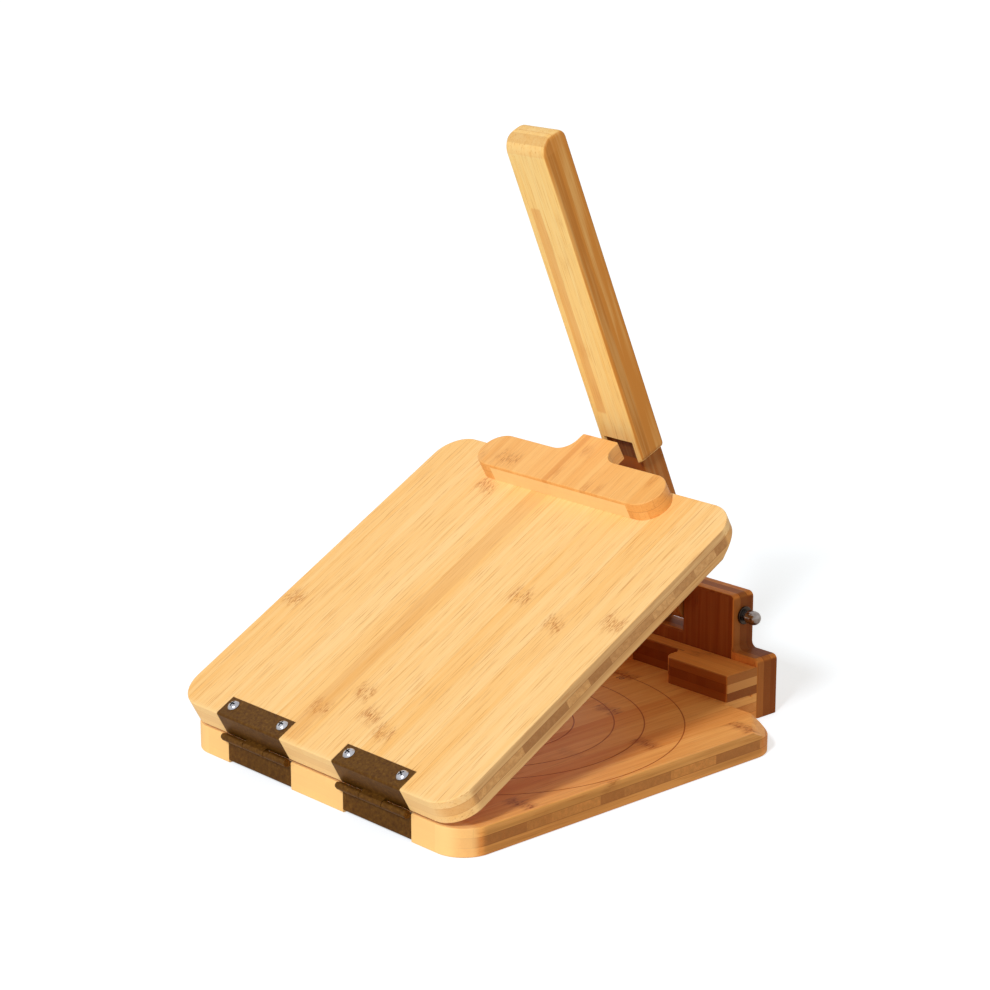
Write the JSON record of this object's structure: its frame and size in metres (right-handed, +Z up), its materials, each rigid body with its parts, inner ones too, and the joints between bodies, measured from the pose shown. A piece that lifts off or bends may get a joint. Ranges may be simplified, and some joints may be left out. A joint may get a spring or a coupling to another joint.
{
  "type": "tortilla press",
  "caption": "Hinged bamboo tortilla press: square lid over a base with engraved size rings, a stop block and upright at one end, and a long lever handle that pivots in the upright",
  "frame": {"origin": "Middle of the underside of the base board, straight below the middle of the size rings, on the rest face", "axes": "+X along the hinge, to the right when seen from the hinge edge; +Y from the hinge edge to the lever end; +Z up"},
  "size_m": [0.261, 0.3346, 0.3894],
  "materials": {
    "bamboo": "satin oiled",
    "bamboo_edge": "satin oiled",
    "dowel_wood": "raw",
    "bronzed_steel": "bronzed satin",
    "bright_steel": "bright plated"
  },
  "bodies": {
    "base": {"base_board": "bamboo", "stop_block": "bamboo_edge", "stop_block_dowels": "dowel_wood", "upright": "bamboo_edge", "upright_dowels": "dowel_wood", "pivot_rod": "bright_steel", "pivot_washers": "bright_steel", "cap_nuts": "bright_steel", "hinge_lower_leaf_left": "bronzed_steel", "hinge_lower_leaf_right": "bronzed_steel", "hinge_pin_left": "bronzed_steel", "hinge_pin_right": "bronzed_steel", "base_hinge_screws": "bright_steel"},
    "lid": {"lid_board": "bamboo", "press_block": "bamboo", "press_block_dowels": "dowel_wood", "hinge_upper_leaf_left": "bronzed_steel", "hinge_upper_leaf_right": "bronzed_steel", "lid_hinge_screws": "bright_steel"},
    "lever": {"lever_handle": "bamboo"}
  },
  "joints": [
    {"name": "lid_hinge", "type": "hinge", "parent": "base", "child": "lid", "pos_m": [0, -0.1385, 0.0182], "axis": [1, 0, 0], "range_deg": [-28.8, 141]},
    {"name": "lever_pivot", "type": "hinge", "parent": "base", "child": "lever", "pos_m": [0, 0.1763, 0.0637], "axis": [1, 0, 0], "range_deg": [-121, 3]}
  ]
}
